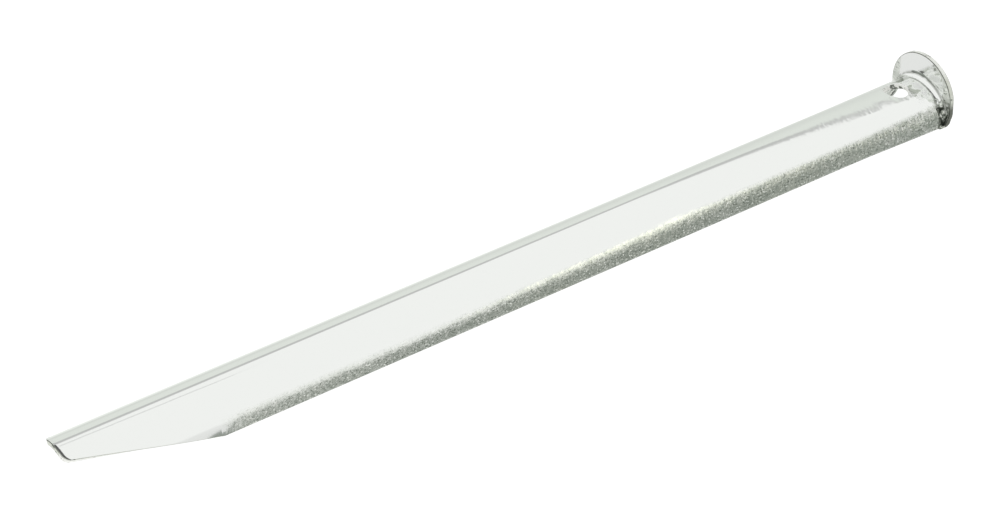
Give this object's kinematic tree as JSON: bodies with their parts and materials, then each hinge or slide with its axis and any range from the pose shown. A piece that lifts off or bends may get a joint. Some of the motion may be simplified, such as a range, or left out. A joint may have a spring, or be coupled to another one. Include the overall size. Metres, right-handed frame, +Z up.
{
  "type": "tent stake",
  "caption": "Half-round sheet-steel tent stake with a tapered blunt point, a turned-out crescent lip at the head for the guy line and a round pull-cord hole.",
  "frame": {"origin": "midway along the stake, on the plane of the two long edges that it rests on", "axes": "+X along the stake from the point to the head, +Z up through the crown of the half tube, +Y across"},
  "size_m": [0.3, 0.0244, 0.0181],
  "materials": {
    "zinc_plated_steel": "bright zinc plated, semi-gloss"
  },
  "bodies": {
    "root": {"stake": "zinc_plated_steel"}
  },
  "joints": []
}
